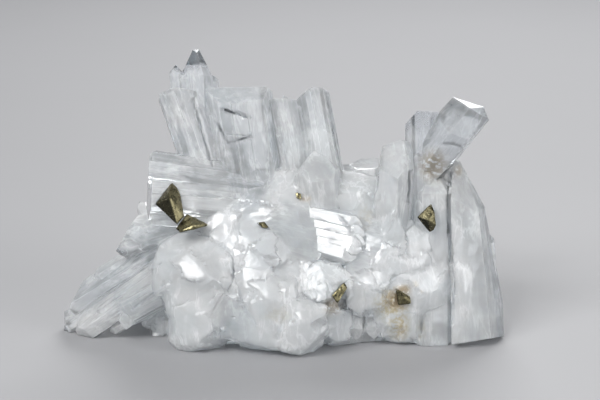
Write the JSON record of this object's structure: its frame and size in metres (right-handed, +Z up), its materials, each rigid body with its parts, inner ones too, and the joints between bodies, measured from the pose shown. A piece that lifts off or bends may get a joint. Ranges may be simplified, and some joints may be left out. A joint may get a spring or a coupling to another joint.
{
  "type": "pyrite and quartz mineral specimen",
  "caption": "Hand-sized cluster of clear to milky quartz crystals with small brassy pyrite crystals grown into it, standing on a flat broken base.",
  "frame": {"origin": "middle of the bounding box at the height of the base that the cluster rests on", "axes": "+Z up from the base, +X to the right in the front view, -Y towards the viewer"},
  "size_m": [0.0875, 0.0452, 0.0551],
  "materials": {
    "quartz": "natural crystal, clear at the tips and milky inside",
    "pyrite": "natural crystal with a brassy metallic lustre"
  },
  "bodies": {
    "root": {"quartz_cluster": "quartz", "pyrite_main": "pyrite", "pyrite_wedge": "pyrite", "pyrite_dark": "pyrite", "pyrite_gold": "pyrite", "pyrite_stained": "pyrite", "pyrite_speck_middle": "pyrite", "pyrite_speck_left": "pyrite"}
  },
  "joints": []
}
